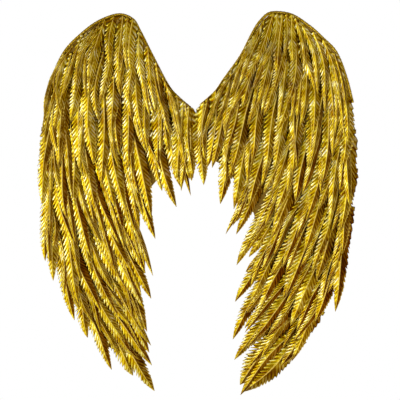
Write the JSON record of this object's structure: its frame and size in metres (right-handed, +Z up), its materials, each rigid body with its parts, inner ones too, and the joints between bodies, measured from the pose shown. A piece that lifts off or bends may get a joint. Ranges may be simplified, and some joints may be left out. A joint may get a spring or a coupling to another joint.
{
  "type": "angel wings",
  "caption": "Pair of costume angel wings in tiers of long gold pleated fabric feathers on felt panels, with two elastic arm loops.",
  "frame": {"origin": "middle of the centre panel's rear face, which lies against the wearer's back between the shoulder blades", "axes": "+Z up as worn, +X to the viewer's right seen from the feathered side, +Y towards the wearer; the feathers face -Y"},
  "size_m": [0.7211, 0.1729, 0.8732],
  "materials": {
    "gold_lame": "shiny metallic pleated fabric",
    "backing_felt": "matt felt",
    "edge_binding": "shiny rolled fabric edge",
    "elastic": "matt woven elastic"
  },
  "bodies": {
    "root": {"centre_panel": "backing_felt", "left_wing_panel": "backing_felt", "right_wing_panel": "backing_felt", "left_edge_binding": "edge_binding", "right_edge_binding": "edge_binding", "left_strap": "elastic", "right_strap": "elastic", "left_tier_01": "gold_lame", "left_tier_02": "gold_lame", "left_tier_03": "gold_lame", "left_tier_04": "gold_lame", "left_tier_05": "gold_lame", "left_tier_06": "gold_lame", "left_tier_07": "gold_lame", "left_tier_08": "gold_lame", "left_tier_09": "gold_lame", "left_tier_10": "gold_lame", "left_tier_11": "gold_lame", "right_tier_01": "gold_lame", "right_tier_02": "gold_lame", "right_tier_03": "gold_lame", "right_tier_04": "gold_lame", "right_tier_05": "gold_lame", "right_tier_06": "gold_lame", "right_tier_07": "gold_lame", "right_tier_08": "gold_lame", "right_tier_09": "gold_lame", "right_tier_10": "gold_lame", "right_tier_11": "gold_lame"}
  },
  "joints": []
}
